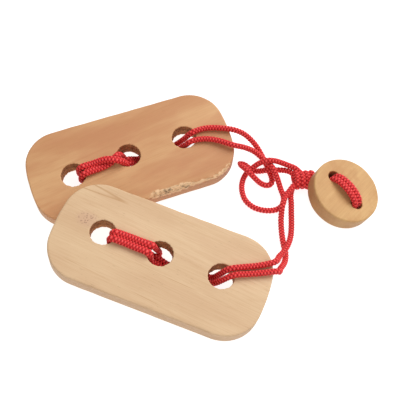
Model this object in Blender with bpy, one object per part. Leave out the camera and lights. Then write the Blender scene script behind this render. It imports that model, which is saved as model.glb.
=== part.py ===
"""A cord puzzle: two wooden boards with three holes each, and a two-hole disc, on one knotted cord.

Metres, +Z up. The origin is on the table, under the middle of the two boards and the disc.
Both boards lie tilted, because the cord runs under them, and the front board leans on the rear one.
"""
import math

import bmesh
import bpy
from mathutils import Matrix, Vector

# The two boards are cut alike.
BOARD_LENGTH = 0.1212
BOARD_WIDTH = 0.0585
BOARD_THICKNESS = 0.010
END_RADIUS = 0.097
CORNER_RADIUS = 0.0205
HOLE_DIAMETER = 0.0144
DISC_DIAMETER = 0.0396
DISC_THICKNESS = 0.010
DISC_HOLE_DIAMETER = 0.0070
DISC_HOLES = [(-0.0070, 0.0075), (0.0054, -0.0077)]
EDGE_RADIUS = 0.0008
HOLE_CHAMFER = 0.0005
CORD_DIAMETER = 0.0030
CORD_STEP = 0.0055
KNOT_SIZE = (0.0136, 0.0122, 0.0095)
KNOT_PLACE = (0.0598, 0.0210, 0.0048)

# How each wooden piece lies: its middle on the table, its heading, and where its face leans to.
REAR_PLACE, REAR_HEADING, REAR_LEAN = (-0.0409, 0.0338, 0.00365), math.radians(19.8), (0.040, -0.118)
FRONT_PLACE, FRONT_HEADING, FRONT_LEAN = (-0.0219, -0.0337, 0.0067), math.radians(-20.1), (0.090, -0.065)
DISC_PLACE, DISC_HEADING, DISC_LEAN = (0.0802, 0.0089, 0.0056), 0.0, (0.272, -0.068)

# The holes of each board, from its middle: the one that the cord comes in by is first.
REAR_HOLES = [(0.0335, 0.0015), (-0.0015, 0.0005), (-0.0350, -0.0015)]
FRONT_HOLES = [(0.0338, 0.0021), (-0.0012, 0.0018), (-0.0342, 0.0016)]

# Colours: linear red, green and blue.
REAR_WOOD = (0.60, 0.31, 0.15)
FRONT_WOOD = (0.75, 0.51, 0.30)
DISC_WOOD = (0.65, 0.39, 0.16)
CORD_RED = (0.58, 0.03, 0.04)

# The rear loop, from the knot to the cord hole of the rear board: one list for each of its two strands.
REAR_STRAND_1 = [
    (0.0556, 0.0274, 0.0080), (0.0530, 0.0287, 0.0080), (0.0492, 0.0301, 0.0086), (0.0440, 0.0309, 0.0103),
    (0.0395, 0.0308, 0.0109), (0.0348, 0.0305, 0.0083), (0.0309, 0.0290, 0.0054), (0.0280, 0.0274, 0.0034),
    (0.0258, 0.0243, 0.0018), (0.0246, 0.0200, 0.0015), (0.0246, 0.0152, 0.0015), (0.0264, 0.0092, 0.0015),
    (0.0312, 0.0044, 0.0015), (0.0381, 0.0024, 0.0015), (0.0445, 0.0032, 0.0015), (0.0482, 0.0068, 0.0015),
    (0.0487, 0.0115, 0.0015), (0.0472, 0.0165, 0.0024), (0.0449, 0.0225, 0.0062), (0.0427, 0.0272, 0.0084),
    (0.0412, 0.0299, 0.0077), (0.0400, 0.0321, 0.0063), (0.0375, 0.0354, 0.0056), (0.0325, 0.0388, 0.0080),
    (0.0262, 0.0391, 0.0122), (0.0200, 0.0389, 0.0148), (0.0110, 0.0421, 0.0150), (0.0034, 0.0434, 0.0149),
    (-0.0030, 0.0425, 0.0150),
]
REAR_STRAND_2 = [
    (0.0533, 0.0260, 0.0055), (0.0502, 0.0275, 0.0051), (0.0449, 0.0279, 0.0050), (0.0405, 0.0280, 0.0049),
    (0.0370, 0.0286, 0.0030), (0.0339, 0.0292, 0.0016), (0.0311, 0.0300, 0.0015), (0.0290, 0.0316, 0.0016),
    (0.0270, 0.0336, 0.0017), (0.0246, 0.0345, 0.0027), (0.0229, 0.0337, 0.0041), (0.0235, 0.0313, 0.0054),
    (0.0256, 0.0287, 0.0066), (0.0284, 0.0256, 0.0070), (0.0315, 0.0230, 0.0050), (0.0352, 0.0210, 0.0019),
    (0.0382, 0.0195, 0.0015), (0.0410, 0.0197, 0.0015), (0.0425, 0.0219, 0.0015), (0.0424, 0.0247, 0.0015),
    (0.0418, 0.0272, 0.0015), (0.0407, 0.0303, 0.0015), (0.0395, 0.0343, 0.0016), (0.0376, 0.0392, 0.0020),
    (0.0335, 0.0449, 0.0058), (0.0270, 0.0484, 0.0118), (0.0205, 0.0497, 0.0150), (0.0112, 0.0507, 0.0157),
    (0.0035, 0.0505, 0.0158), (-0.0020, 0.0488, 0.0158),
]
# From there down through the hole, in the board's own directions, from its cord hole on its underside.
REAR_DIVE_1 = [(0.0016, -0.0045, 0.0107), (-0.0001, -0.0037, 0.0067)]
REAR_DIVE_2 = [(0.0052, 0.0006, 0.0116), (0.0028, 0.0008, 0.0090)]
REAR_LACING = [
    (-0.0006, -0.0033, 0.0057), (-0.0022, -0.0025, 0.0026), (-0.0042, -0.0015, -0.0007),
    (-0.0070, -0.0012, -0.0018), (-0.0150, -0.0016, -0.0018), (-0.0240, -0.0025, -0.0018),
    (-0.0290, -0.0028, -0.0017), (-0.0325, -0.0027, 0.0009), (-0.0360, -0.0027, 0.0028),
    (-0.0393, -0.0026, 0.0008), (-0.0414, -0.0025, -0.0013), (-0.0430, -0.0024, -0.0019),
    (-0.0500, -0.0022, -0.0018), (-0.0580, -0.0022, -0.0018), (-0.0613, -0.0024, -0.0020),
    (-0.0638, -0.0030, -0.0010), (-0.0647, -0.0038, 0.0014), (-0.0648, -0.0050, 0.0055),
    (-0.0643, -0.0055, 0.0100), (-0.0622, -0.0053, 0.0120), (-0.0590, -0.0049, 0.0121),
    (-0.0550, -0.0046, 0.0119), (-0.0505, -0.0042, 0.0118), (-0.0470, -0.0034, 0.0118),
    (-0.0440, -0.0018, 0.0119), (-0.0417, -0.0002, 0.0117), (-0.0401, 0.0010, 0.0102),
    (-0.0391, 0.0024, 0.0068), (-0.0380, 0.0036, 0.0030), (-0.0370, 0.0039, 0.0000),
    (-0.0366, 0.0028, -0.0018), (-0.0365, -0.0010, -0.0019), (-0.0365, -0.0040, -0.0016),
    (-0.0366, -0.0061, -0.0004), (-0.0370, -0.0061, 0.0030), (-0.0375, -0.0055, 0.0074),
    (-0.0388, -0.0049, 0.0111), (-0.0403, -0.0046, 0.0130), (-0.0426, -0.0040, 0.0147),
    (-0.0452, -0.0030, 0.0153), (-0.0484, -0.0018, 0.0149), (-0.0522, -0.0010, 0.0133),
    (-0.0560, -0.0007, 0.0121), (-0.0592, -0.0006, 0.0120), (-0.0622, -0.0006, 0.0120),
    (-0.0643, -0.0004, 0.0100), (-0.0648, 0.0004, 0.0055), (-0.0647, 0.0006, 0.0014),
    (-0.0638, 0.0008, -0.0010), (-0.0613, 0.0011, -0.0020), (-0.0580, 0.0012, -0.0018),
    (-0.0500, 0.0011, -0.0018), (-0.0430, 0.0010, -0.0020), (-0.0414, 0.0009, -0.0014),
    (-0.0393, 0.0006, 0.0007), (-0.0360, 0.0004, 0.0025), (-0.0325, 0.0004, 0.0008),
    (-0.0290, 0.0006, -0.0017), (-0.0240, 0.0010, -0.0018), (-0.0150, 0.0019, -0.0018),
    (-0.0070, 0.0025, -0.0018), (-0.0042, 0.0023, -0.0009), (-0.0018, 0.0018, 0.0018),
    (0.0006, 0.0012, 0.0055), (0.0024, 0.0009, 0.0083),
]
# The front loop, from the knot to the end of the front board.
FRONT_STRAND_1 = [
    (0.0533, 0.0153, 0.0053), (0.0521, 0.0137, 0.0051), (0.0498, 0.0106, 0.0050), (0.0482, 0.0070, 0.0051),
    (0.0472, 0.0034, 0.0049), (0.0467, -0.0004, 0.0029), (0.0463, -0.0048, 0.0018),
    (0.0464, -0.0140, 0.0016), (0.0470, -0.0200, 0.0016), (0.0477, -0.0240, 0.0017),
    (0.0473, -0.0290, 0.0026), (0.0457, -0.0335, 0.0050), (0.0436, -0.0371, 0.0080),
]
FRONT_STRAND_2 = [
    (0.0535, 0.0150, 0.0017), (0.0529, 0.0118, 0.0016), (0.0530, 0.0080, 0.0015), (0.0526, 0.0010, 0.0015),
    (0.0522, -0.0066, 0.0017), (0.0512, -0.0145, 0.0025), (0.0490, -0.0212, 0.0048),
    (0.0458, -0.0268, 0.0064), (0.0430, -0.0304, 0.0084),
]
# From there up to the board's edge, over it and through its holes, in the board's own directions.
FRONT_CLIMB_1 = [(0.0284, 0.0146, 0.0092), (0.0278, 0.0138, 0.0108)]
FRONT_CLIMB_2 = [(0.0254, 0.0208, 0.0092), (0.0249, 0.0192, 0.0109)]
FRONT_LACING = [
    (0.0271, 0.0132, 0.0116), (0.0258, 0.0124, 0.0122), (0.0240, 0.0113, 0.0124), (0.0178, 0.0081, 0.0120),
    (0.0110, 0.0048, 0.0119), (0.0065, 0.0025, 0.0121), (0.0035, 0.0006, 0.0102), (0.0010, -0.0008, 0.0067),
    (-0.0015, -0.0018, 0.0028), (-0.0040, -0.0020, -0.0006), (-0.0070, -0.0020, -0.0018),
    (-0.0180, -0.0028, -0.0018), (-0.0300, -0.0036, -0.0018), (-0.0350, -0.0024, -0.0018),
    (-0.0420, -0.0015, -0.0018), (-0.0480, -0.0016, -0.0018), (-0.0560, -0.0020, -0.0018),
    (-0.0597, -0.0020, -0.0022), (-0.0620, -0.0022, -0.0013), (-0.0631, -0.0024, 0.0012),
    (-0.0632, -0.0025, 0.0050), (-0.0630, -0.0026, 0.0100), (-0.0609, -0.0026, 0.0122),
    (-0.0580, -0.0025, 0.0121), (-0.0540, -0.0024, 0.0118), (-0.0480, -0.0026, 0.0118),
    (-0.0427, -0.0027, 0.0120), (-0.0410, -0.0028, 0.0117), (-0.0397, -0.0031, 0.0099),
    (-0.0391, -0.0037, 0.0066), (-0.0384, -0.0045, 0.0030), (-0.0376, -0.0052, 0.0000),
    (-0.0369, -0.0055, -0.0028), (-0.0366, -0.0037, -0.0051), (-0.0366, -0.0004, -0.0055),
    (-0.0366, 0.0029, -0.0051), (-0.0369, 0.0049, -0.0028), (-0.0376, 0.0047, 0.0000),
    (-0.0384, 0.0039, 0.0030), (-0.0391, 0.0030, 0.0066), (-0.0397, 0.0022, 0.0099),
    (-0.0410, 0.0018, 0.0117), (-0.0427, 0.0016, 0.0120), (-0.0480, 0.0016, 0.0118),
    (-0.0540, 0.0016, 0.0118), (-0.0580, 0.0014, 0.0121), (-0.0609, 0.0012, 0.0122),
    (-0.0630, 0.0011, 0.0100), (-0.0632, 0.0011, 0.0050), (-0.0631, 0.0012, 0.0012),
    (-0.0620, 0.0013, -0.0013), (-0.0597, 0.0014, -0.0022), (-0.0560, 0.0014, -0.0018),
    (-0.0480, 0.0018, -0.0018), (-0.0420, 0.0019, -0.0018), (-0.0350, 0.0010, -0.0018),
    (-0.0300, -0.0002, -0.0018), (-0.0180, 0.0006, -0.0018), (-0.0070, 0.0014, -0.0018),
    (-0.0043, 0.0016, -0.0009), (-0.0025, 0.0022, 0.0020), (-0.0006, 0.0031, 0.0060),
    (0.0014, 0.0042, 0.0099), (0.0040, 0.0056, 0.0120), (0.0096, 0.0086, 0.0121), (0.0164, 0.0123, 0.0118),
    (0.0222, 0.0160, 0.0121), (0.0238, 0.0173, 0.0120), (0.0245, 0.0184, 0.0115),
]
# Through the disc, on the line through its two holes: distance from the first hole, and height over its back.
# Each of the two strands runs beside that line, and both ends are in the knot.
DISC_ROUTE = [
    (-0.0041, -0.0033), (-0.0028, -0.0029), (-0.0012, -0.0014), (-0.0002, 0.0012), (0.0002, 0.0045),
    (0.0005, 0.0077), (0.0011, 0.0103), (0.0029, 0.0121), (0.0061, 0.0133), (0.0098, 0.0139),
    (0.0130, 0.0137), (0.0162, 0.0129), (0.0189, 0.0113), (0.0202, 0.0080), (0.0203, 0.0040),
    (0.0198, 0.0012), (0.0184, -0.0012), (0.0158, -0.0022), (0.0120, -0.0032), (0.0070, -0.0044),
    (0.0010, -0.0058), (-0.0020, -0.0065), (-0.0036, -0.0069),
]
DISC_STRAND_GAP = 0.0033


def clear_scene():
    for old in list(bpy.data.objects):
        bpy.data.objects.remove(old, do_unlink=True)


def material(name, colour, roughness):
    made = bpy.data.materials.new(name)
    made.use_nodes = True
    shader = made.node_tree.nodes["Principled BSDF"]
    shader.inputs["Base Color"].default_value = (*colour, 1.0)
    shader.inputs["Roughness"].default_value = roughness
    shader.inputs["Metallic"].default_value = 0.0
    return made


def lying(place, heading, lean):
    """Where a flat piece lies: X along its heading, Z out of its face, which leans to the given side."""
    normal = Vector((*lean, math.sqrt(1.0 - lean[0] ** 2 - lean[1] ** 2)))
    along = Vector((math.cos(heading), math.sin(heading), 0.0))
    along = (along - normal * along.dot(normal)).normalized()
    turn = Matrix((along, normal.cross(along), normal)).transposed().to_4x4()
    return Matrix.Translation(place) @ turn


def arc(centre, radius, start, end, steps):
    """Points on an arc, with both its ends."""
    angles = [start + (end - start) * i / steps for i in range(steps + 1)]
    return [(centre[0] + radius * math.cos(a), centre[1] + radius * math.sin(a)) for a in angles]


def board_outline():
    """Straight sides, bulging ends and round corners that meet both without a kink."""
    end_centre = BOARD_LENGTH / 2 - END_RADIUS
    corner_y = BOARD_WIDTH / 2 - CORNER_RADIUS
    corner_x = end_centre + math.sqrt((END_RADIUS - CORNER_RADIUS) ** 2 - corner_y**2)
    join = math.atan2(corner_y, corner_x - end_centre)
    right = arc((end_centre, 0.0), END_RADIUS, -join, join, 6)
    corner = arc((corner_x, corner_y), CORNER_RADIUS, join, math.pi / 2, 12)
    half = right[1:-1] + corner
    top = half + [(-x, y) for x, y in reversed(corner)]
    left = [(-x, -y) for x, y in right[1:-1]]
    bottom = [(-x, -y) for x, y in corner] + [(x, -y) for x, y in reversed(corner)]
    return top + left + bottom


def slab(name, outline, thickness, paint):
    """A flat piece on Z = 0 with the given outline and lightly rounded edges."""
    mesh = bpy.data.meshes.new(name)
    build = bmesh.new()
    face = build.faces.new([build.verts.new((x, y, 0.0)) for x, y in outline])
    lifted = bmesh.ops.extrude_face_region(build, geom=[face])["geom"]
    top = [v for v in lifted if isinstance(v, bmesh.types.BMVert)]
    bmesh.ops.translate(build, verts=top, vec=(0.0, 0.0, thickness))
    bmesh.ops.recalc_face_normals(build, faces=build.faces)
    build.to_mesh(mesh)
    build.free()
    mesh.materials.append(paint)
    piece = bpy.data.objects.new(name, mesh)
    bpy.context.collection.objects.link(piece)
    edge = piece.modifiers.new("edge", "BEVEL")
    edge.width = EDGE_RADIUS
    edge.segments = 2
    edge.limit_method = "ANGLE"
    edge.angle_limit = math.radians(60)
    return piece


def drill(piece, number, place, diameter, thickness):
    """Cuts a straight hole with a small chamfer at each mouth."""
    radius, steps = diameter / 2, 40
    low, high = -HOLE_CHAMFER, thickness + HOLE_CHAMFER
    profile = [(radius + 2 * HOLE_CHAMFER, low), (radius, low + 2 * HOLE_CHAMFER)]
    profile += [(radius, high - 2 * HOLE_CHAMFER), (radius + 2 * HOLE_CHAMFER, high)]
    name = f"{piece.name}_drill_{number}"
    mesh = bpy.data.meshes.new(name)
    build = bmesh.new()
    rings = []
    for r, z in profile:
        turn = [2 * math.pi * i / steps for i in range(steps)]
        rings.append([build.verts.new((r * math.cos(a), r * math.sin(a), z)) for a in turn])
    for below, above in zip(rings, rings[1:]):
        for i in range(steps):
            j = (i + 1) % steps
            build.faces.new((below[i], below[j], above[j], above[i]))
    build.faces.new(list(reversed(rings[0])))
    build.faces.new(rings[-1])
    build.to_mesh(mesh)
    build.free()
    cutter = bpy.data.objects.new(name, mesh)
    bpy.context.collection.objects.link(cutter)
    cutter.parent = piece
    cutter.location = (*place, 0.0)
    cutter.hide_render = True
    cutter.display_type = "WIRE"
    cut = piece.modifiers.new(f"hole_{number}", "BOOLEAN")
    cut.operation = "DIFFERENCE"
    cut.solver = "EXACT"
    cut.object = cutter


def smooth(points, step):
    """Points on the smooth curve through the given ones, closer together in its bends."""
    knots = [Vector(p) for p in points]
    ends = [2 * knots[0] - knots[1], *knots, 2 * knots[-1] - knots[-2]]
    fine = [knots[0]]
    for a, b, c, d in zip(ends, ends[1:], ends[2:], ends[3:]):
        t1 = (b - a).length ** 0.5
        t2 = t1 + (c - b).length ** 0.5
        t3 = t2 + (d - c).length ** 0.5
        for i in range(1, 13):
            t = t1 + (t2 - t1) * i / 12
            p = a.lerp(b, t / t1)
            q = b.lerp(c, (t - t1) / (t2 - t1))
            r = c.lerp(d, (t - t2) / (t3 - t2))
            p, q = p.lerp(q, t / t2), q.lerp(r, (t - t1) / (t3 - t1))
            fine.append(p.lerp(q, (t - t1) / (t2 - t1)))
    lengths = [0.0]
    for before, a, b in zip([fine[0], *fine], fine, fine[1:]):
        turn = (a - before).angle(b - a) if a != before else 0.0
        lengths.append(lengths[-1] + (b - a).length + 2 * CORD_DIAMETER * turn)
    count = max(2, round(lengths[-1] / step))
    spaced, k = [], 0
    for i in range(count + 1):
        want = lengths[-1] * i / count
        while k < len(fine) - 2 and lengths[k + 1] < want:
            k += 1
        spaced.append(fine[k].lerp(fine[k + 1], (want - lengths[k]) / (lengths[k + 1] - lengths[k])))
    return spaced


def tube(name, points, paint, step=CORD_STEP):
    """A plain length of cord along the smooth curve through the points."""
    curve = bpy.data.curves.new(name, "CURVE")
    curve.dimensions = "3D"
    curve.bevel_depth = CORD_DIAMETER / 2
    curve.bevel_resolution = 2
    curve.use_fill_caps = True
    route = smooth(points, step)
    spline = curve.splines.new("POLY")
    spline.points.add(len(route) - 1)
    for spot, place in zip(spline.points, route):
        spot.co = (*place, 1.0)
    curve.materials.append(paint)
    piece = bpy.data.objects.new(name, curve)
    bpy.context.collection.objects.link(piece)
    return piece


def lump(name, size, place, paint):
    """The outer shape of the knot: a blunt, rounded block."""
    blunt, rings, steps = 0.72, 12, 24
    mesh = bpy.data.meshes.new(name)
    build = bmesh.new()
    bmesh.ops.create_uvsphere(build, u_segments=steps, v_segments=rings, radius=1.0)
    for v in build.verts:
        v.co = Vector([math.copysign(abs(c) ** blunt, c) * s / 2 for c, s in zip(v.co, size)])
    build.to_mesh(mesh)
    build.free()
    mesh.shade_smooth()
    mesh.materials.append(paint)
    piece = bpy.data.objects.new(name, mesh)
    bpy.context.collection.objects.link(piece)
    piece.location = place
    return piece


def joint_empty(name, place):
    """An empty on a joint's axis, which carries the pieces that turn about it."""
    empty = bpy.data.objects.new(name, None)
    empty.empty_display_size = 0.01
    empty.location = place
    bpy.context.collection.objects.link(empty)
    bpy.context.view_layer.update()
    return empty


def hang(pieces, parent, world=None):
    """Parents pieces without moving them, or puts them at the given place."""
    for piece in pieces:
        place = world.copy() if world else piece.matrix_world.copy()
        piece.parent = parent
        piece.matrix_parent_inverse = parent.matrix_world.inverted()
        piece.matrix_basis = place
    bpy.context.view_layer.update()


def board(name, holes, colour):
    """A board whose origin is on its cord hole, on its underside."""
    paint = material(f"{name}_wood", colour, 0.55)
    first = Vector(holes[0])
    outline = [(x - first.x, y - first.y) for x, y in board_outline()]
    piece = slab(name, outline, BOARD_THICKNESS, paint)
    for number, hole in enumerate(holes, 1):
        drill(piece, number, Vector(hole) - first, HOLE_DIAMETER, BOARD_THICKNESS)
    return piece


def disc(name):
    paint = material(f"{name}_wood", DISC_WOOD, 0.5)
    outline = arc((0.0, 0.0), DISC_DIAMETER / 2, 0.0, 2 * math.pi, 72)[:-1]
    piece = slab(name, outline, DISC_THICKNESS, paint)
    for number, hole in enumerate(DISC_HOLES, 1):
        drill(piece, number, hole, DISC_HOLE_DIAMETER, DISC_THICKNESS)
    return piece


def disc_strand_points(side):
    """One strand through the disc's holes, beside the line through them, in the disc's own directions."""
    first, second = (Vector((x, y, 0.0)) for x, y in DISC_HOLES)
    along = (second - first).normalized()
    across = Vector((-along.y, along.x, 0.0)) * side * DISC_STRAND_GAP / 2
    return [first + along * t + across + Vector((0.0, 0.0, h)) for t, h in DISC_ROUTE]


def lowest_point(piece):
    """The place of a piece's lowest corner in the world."""
    bpy.context.view_layer.update()
    seen = piece.evaluated_get(bpy.context.evaluated_depsgraph_get())
    mesh = seen.to_mesh()
    spots = [piece.matrix_world @ v.co for v in mesh.vertices]
    seen.to_mesh_clear()
    return min(spots, key=lambda spot: spot.z)


def build():
    clear_scene()
    cord_paint = material("cord_red", CORD_RED, 0.8)
    rear_lies = lying(REAR_PLACE, REAR_HEADING, REAR_LEAN) @ Matrix.Translation((*REAR_HOLES[0], 0.0))
    front_lies = lying(FRONT_PLACE, FRONT_HEADING, FRONT_LEAN) @ Matrix.Translation((*FRONT_HOLES[0], 0.0))
    disc_lies = lying(DISC_PLACE, DISC_HEADING, DISC_LEAN)

    rear_board = board("rear_board", REAR_HOLES, REAR_WOOD)
    rear_board.matrix_world = rear_lies
    rear_lacing = tube("rear_lacing", REAR_LACING, cord_paint)
    hang([rear_lacing], rear_board, rear_lies)

    # the cord swings about the rear board's cord hole
    swivel = joint_empty("cord_swivel", rear_lies.translation)
    strands = []
    for name, free, dive in (
        ("rear_strand_1", REAR_STRAND_1, REAR_DIVE_1),
        ("rear_strand_2", REAR_STRAND_2, REAR_DIVE_2),
    ):
        strands.append(tube(name, free + [rear_lies @ Vector(p) for p in dive], cord_paint))
    for name, free, climb in (
        ("front_strand_1", FRONT_STRAND_1, FRONT_CLIMB_1),
        ("front_strand_2", FRONT_STRAND_2, FRONT_CLIMB_2),
    ):
        strands.append(tube(name, free + [front_lies @ Vector(p) for p in climb], cord_paint))
    strands.append(lump("knot", KNOT_SIZE, KNOT_PLACE, cord_paint))
    bpy.context.view_layer.update()
    hang(strands, swivel)

    # the front board tips up about the end that stands on the table
    front_board = board("front_board", FRONT_HOLES, FRONT_WOOD)
    front_board.matrix_world = front_lies
    heel = joint_empty("front_heel", lowest_point(front_board))
    hang([front_board], heel, front_lies)
    front_lacing = tube("front_lacing", FRONT_LACING, cord_paint, 0.0058)
    hang([front_lacing], front_board, front_lies)

    # the disc tips up about the edge that leans on the knot
    round_disc = disc("disc")
    uphill = -Vector(DISC_LEAN).normalized()
    slope = Vector(DISC_LEAN).length
    rim = Vector((*(uphill * math.sqrt(1.0 - slope**2)), slope)) * DISC_DIAMETER / 2
    edge = joint_empty("disc_edge", Vector(DISC_PLACE) + rim)
    hang([round_disc], edge, disc_lies)
    for number, side in ((1, 1.0), (2, -1.0)):
        strand = tube(f"disc_strand_{number}", disc_strand_points(side), cord_paint, 0.0035)
        hang([strand], round_disc, disc_lies)


build()
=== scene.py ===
"""The looks of a cord puzzle: two wooden boards and a disc strung on one knotted, braided red cord."""
import math

import bmesh
import bpy
import numpy as np
from mathutils import Matrix, Vector, noise
from mathutils.geometry import delaunay_2d_cdt


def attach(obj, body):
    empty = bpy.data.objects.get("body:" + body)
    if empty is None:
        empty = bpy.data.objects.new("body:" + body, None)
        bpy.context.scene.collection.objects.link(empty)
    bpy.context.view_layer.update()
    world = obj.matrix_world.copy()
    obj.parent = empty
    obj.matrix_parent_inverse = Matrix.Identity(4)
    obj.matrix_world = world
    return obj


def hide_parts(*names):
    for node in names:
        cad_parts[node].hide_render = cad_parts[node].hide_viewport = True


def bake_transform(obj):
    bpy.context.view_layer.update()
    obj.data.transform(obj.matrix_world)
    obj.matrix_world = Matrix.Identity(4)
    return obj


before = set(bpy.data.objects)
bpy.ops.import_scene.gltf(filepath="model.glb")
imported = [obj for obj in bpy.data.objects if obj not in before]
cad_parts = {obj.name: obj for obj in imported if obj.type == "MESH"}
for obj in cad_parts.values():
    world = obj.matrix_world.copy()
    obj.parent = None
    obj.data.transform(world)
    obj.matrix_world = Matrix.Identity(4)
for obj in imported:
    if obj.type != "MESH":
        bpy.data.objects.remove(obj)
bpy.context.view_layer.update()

# ---------------------------------------------------------------- sizes, in metres, as in the CAD
BOARD_LENGTH = 0.1212
BOARD_WIDTH = 0.0585
BOARD_THICKNESS = 0.010
END_RADIUS = 0.097
CORNER_RADIUS = 0.0205
HOLE_RADIUS = 0.0072
DISC_RADIUS = 0.0198
DISC_HOLE_RADIUS = 0.0035

REAR_PLACE, REAR_HEADING, REAR_LEAN = (-0.0409, 0.0338, 0.00365), math.radians(19.8), (0.040, -0.118)
FRONT_PLACE, FRONT_HEADING, FRONT_LEAN = (-0.0219, -0.0337, 0.0067), math.radians(-20.1), (0.090, -0.065)
DISC_PLACE, DISC_HEADING, DISC_LEAN = (0.0802, 0.0089, 0.0056), 0.0, (0.272, -0.068)

# The holes of each board, from its middle: the one that the cord comes in by is first.
REAR_HOLES = [(0.0335, 0.0015), (-0.0015, 0.0005), (-0.0350, -0.0015)]
FRONT_HOLES = [(0.0338, 0.0021), (-0.0012, 0.0018), (-0.0342, 0.0016)]
DISC_HOLES = [(-0.0070, 0.0075), (0.0054, -0.0077)]

# ---------------------------------------------------------------- the cord's route, as in the CAD
REAR_STRAND_1 = [
    (0.0556, 0.0274, 0.0080), (0.0530, 0.0287, 0.0080), (0.0492, 0.0301, 0.0086), (0.0440, 0.0309, 0.0103),
    (0.0395, 0.0308, 0.0109), (0.0348, 0.0305, 0.0083), (0.0309, 0.0290, 0.0054), (0.0280, 0.0274, 0.0034),
    (0.0258, 0.0243, 0.0018), (0.0246, 0.0200, 0.0015), (0.0246, 0.0152, 0.0015), (0.0264, 0.0092, 0.0015),
    (0.0312, 0.0044, 0.0015), (0.0381, 0.0024, 0.0015), (0.0445, 0.0032, 0.0015), (0.0482, 0.0068, 0.0015),
    (0.0487, 0.0115, 0.0015), (0.0472, 0.0165, 0.0024), (0.0449, 0.0225, 0.0062), (0.0427, 0.0272, 0.0084),
    (0.0412, 0.0299, 0.0077), (0.0400, 0.0321, 0.0063), (0.0375, 0.0354, 0.0056), (0.0325, 0.0388, 0.0080),
    (0.0262, 0.0391, 0.0122), (0.0200, 0.0389, 0.0148), (0.0110, 0.0421, 0.0150), (0.0034, 0.0434, 0.0149),
    (-0.0030, 0.0425, 0.0150),
]
REAR_STRAND_2 = [
    (0.0533, 0.0260, 0.0055), (0.0502, 0.0275, 0.0051), (0.0449, 0.0279, 0.0050), (0.0405, 0.0280, 0.0049),
    (0.0370, 0.0286, 0.0030), (0.0339, 0.0292, 0.0016), (0.0311, 0.0300, 0.0015), (0.0290, 0.0316, 0.0016),
    (0.0270, 0.0336, 0.0017), (0.0246, 0.0345, 0.0027), (0.0229, 0.0337, 0.0041), (0.0235, 0.0313, 0.0054),
    (0.0256, 0.0287, 0.0066), (0.0284, 0.0256, 0.0070), (0.0315, 0.0230, 0.0050), (0.0352, 0.0210, 0.0019),
    (0.0382, 0.0195, 0.0015), (0.0410, 0.0197, 0.0015), (0.0425, 0.0219, 0.0015), (0.0424, 0.0247, 0.0015),
    (0.0418, 0.0272, 0.0015), (0.0407, 0.0303, 0.0015), (0.0395, 0.0343, 0.0016), (0.0376, 0.0392, 0.0020),
    (0.0335, 0.0449, 0.0058), (0.0270, 0.0484, 0.0118), (0.0205, 0.0497, 0.0150), (0.0112, 0.0507, 0.0157),
    (0.0035, 0.0505, 0.0158), (-0.0020, 0.0488, 0.0158),
]
# Down through the cord hole and on through the board, in the board's own directions, from that hole.
REAR_DIVE_1 = [(0.0016, -0.0045, 0.0107), (-0.0001, -0.0037, 0.0067)]
REAR_DIVE_2 = [(0.0052, 0.0006, 0.0116), (0.0028, 0.0008, 0.0090)]
REAR_LACING = [
    (-0.0006, -0.0033, 0.0057), (-0.0022, -0.0025, 0.0026), (-0.0042, -0.0015, -0.0007),
    (-0.0070, -0.0012, -0.0018), (-0.0150, -0.0016, -0.0018), (-0.0240, -0.0025, -0.0018),
    (-0.0290, -0.0028, -0.0017), (-0.0325, -0.0027, 0.0009), (-0.0360, -0.0027, 0.0028),
    (-0.0393, -0.0026, 0.0008), (-0.0414, -0.0025, -0.0013), (-0.0430, -0.0024, -0.0019),
    (-0.0500, -0.0022, -0.0018), (-0.0580, -0.0022, -0.0018), (-0.0613, -0.0024, -0.0020),
    (-0.0638, -0.0030, -0.0010), (-0.0647, -0.0038, 0.0014), (-0.0648, -0.0050, 0.0055),
    (-0.0643, -0.0055, 0.0100), (-0.0622, -0.0053, 0.0120), (-0.0590, -0.0049, 0.0121),
    (-0.0550, -0.0046, 0.0119), (-0.0505, -0.0042, 0.0118), (-0.0470, -0.0034, 0.0118),
    (-0.0440, -0.0018, 0.0119), (-0.0417, -0.0002, 0.0117), (-0.0401, 0.0010, 0.0102),
    (-0.0391, 0.0024, 0.0068), (-0.0380, 0.0036, 0.0030), (-0.0370, 0.0039, 0.0000),
    (-0.0366, 0.0028, -0.0018), (-0.0365, -0.0010, -0.0019), (-0.0365, -0.0040, -0.0016),
    (-0.0366, -0.0061, -0.0004), (-0.0370, -0.0061, 0.0030), (-0.0375, -0.0055, 0.0074),
    (-0.0388, -0.0049, 0.0111), (-0.0403, -0.0046, 0.0130), (-0.0426, -0.0040, 0.0147),
    (-0.0452, -0.0030, 0.0153), (-0.0484, -0.0018, 0.0149), (-0.0522, -0.0010, 0.0133),
    (-0.0560, -0.0007, 0.0121), (-0.0592, -0.0006, 0.0120), (-0.0622, -0.0006, 0.0120),
    (-0.0643, -0.0004, 0.0100), (-0.0648, 0.0004, 0.0055), (-0.0647, 0.0006, 0.0014),
    (-0.0638, 0.0008, -0.0010), (-0.0613, 0.0011, -0.0020), (-0.0580, 0.0012, -0.0018),
    (-0.0500, 0.0011, -0.0018), (-0.0430, 0.0010, -0.0020), (-0.0414, 0.0009, -0.0014),
    (-0.0393, 0.0006, 0.0007), (-0.0360, 0.0004, 0.0025), (-0.0325, 0.0004, 0.0008),
    (-0.0290, 0.0006, -0.0017), (-0.0240, 0.0010, -0.0018), (-0.0150, 0.0019, -0.0018),
    (-0.0070, 0.0025, -0.0018), (-0.0042, 0.0023, -0.0009), (-0.0018, 0.0018, 0.0018),
    (0.0006, 0.0012, 0.0055), (0.0024, 0.0009, 0.0083),
]
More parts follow.
